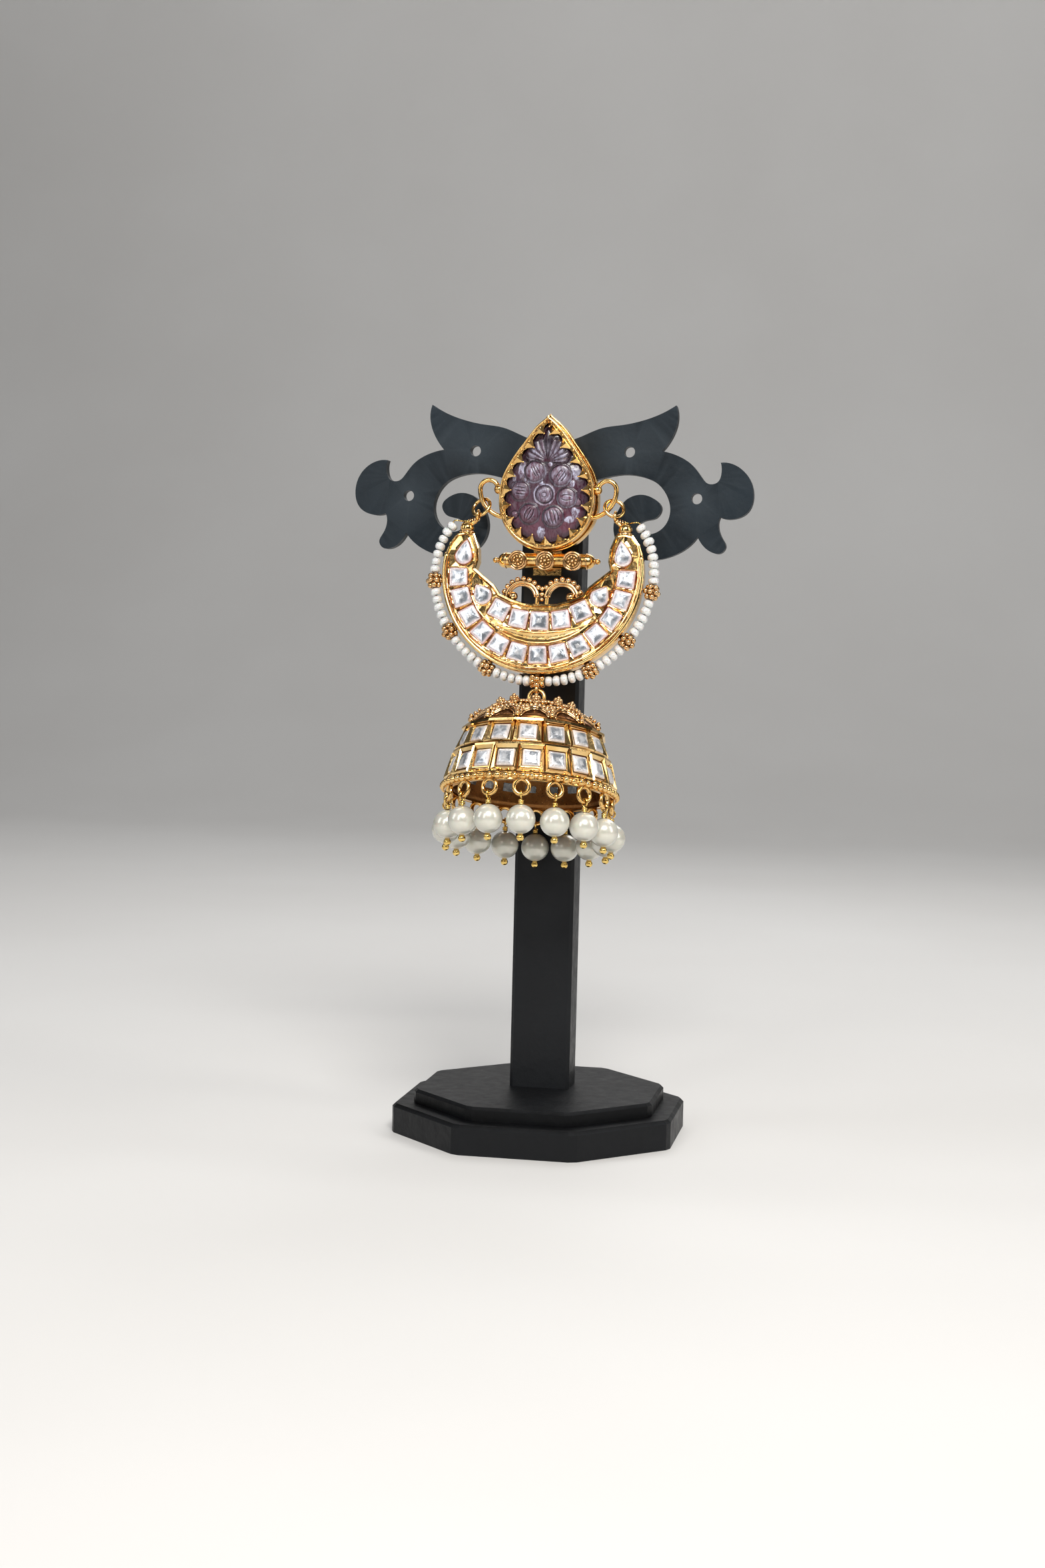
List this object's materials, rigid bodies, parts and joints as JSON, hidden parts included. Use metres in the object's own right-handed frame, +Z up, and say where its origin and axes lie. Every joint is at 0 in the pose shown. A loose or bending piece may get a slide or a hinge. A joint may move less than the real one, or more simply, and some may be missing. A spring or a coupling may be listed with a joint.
{
  "type": "jhumka earring on a display stand",
  "caption": "Drop earring with a carved stone stud, a stone-set crescent and a domed bell fringed with pearls, pinned on a black scroll-topped display stand.",
  "frame": {"origin": "centre of the foot's underside", "axes": "+Z up, the earring faces -Y, +X to the right seen from the front"},
  "size_m": [0.0854, 0.0711, 0.1552],
  "materials": {
    "stand_black": "satin black, faintly hammered",
    "gold": "antique gold plate, dark in the recesses",
    "yellow_gold": "bright yellow gold wire",
    "plum_stone": "carved, translucent plum with a frosted sheen",
    "foil_stone": "foil-backed clear stone",
    "pearl": "satin pearl lustre, ivory",
    "seed_pearl": "pearl lustre, creamy white"
  },
  "bodies": {
    "stand": {"stand_base": "stand_black", "stand_post": "stand_black", "stand_plate": "stand_black", "stud_setting": "gold", "carved_stone": "plum_stone", "ear_post": "gold", "jump_ring_left": "gold", "jump_ring_right": "gold"},
    "crescent": {"crescent_frame": "gold", "crescent_outer_stones": "foil_stone", "crescent_inner_stones": "foil_stone", "seed_pearls_left": "seed_pearl", "seed_pearls_right": "seed_pearl", "gold_beads": "gold"},
    "bell": {"bell_dome": "gold", "bell_upper_stones": "foil_stone", "bell_lower_stones": "foil_stone", "pearl_01": "pearl", "pearl_02": "pearl", "pearl_03": "pearl", "pearl_04": "pearl", "pearl_05": "pearl", "pearl_06": "pearl", "pearl_07": "pearl", "pearl_08": "pearl", "pearl_09": "pearl", "pearl_10": "pearl", "pearl_11": "pearl", "pearl_12": "pearl", "pearl_13": "pearl", "pearl_14": "pearl", "pearl_15": "pearl", "pearl_16": "pearl", "headpin_01": "yellow_gold", "headpin_02": "yellow_gold", "headpin_03": "yellow_gold", "headpin_04": "yellow_gold", "headpin_05": "yellow_gold", "headpin_06": "yellow_gold", "headpin_07": "yellow_gold", "headpin_08": "yellow_gold", "headpin_09": "yellow_gold", "headpin_10": "yellow_gold", "headpin_11": "yellow_gold", "headpin_12": "yellow_gold", "headpin_13": "yellow_gold", "headpin_14": "yellow_gold", "headpin_15": "yellow_gold", "headpin_16": "yellow_gold"}
  },
  "joints": [
    {"name": "crescent_swing", "type": "hinge", "parent": "stand", "child": "crescent", "pos_m": [0, -0.0092, 0.1316], "axis": [-1, 0, 0], "range_deg": [0, 50]},
    {"name": "bell_swing", "type": "hinge", "parent": "crescent", "child": "bell", "pos_m": [0, -0.0153, 0.0953], "axis": [-1, 0, 0], "range_deg": [0, 50]}
  ]
}
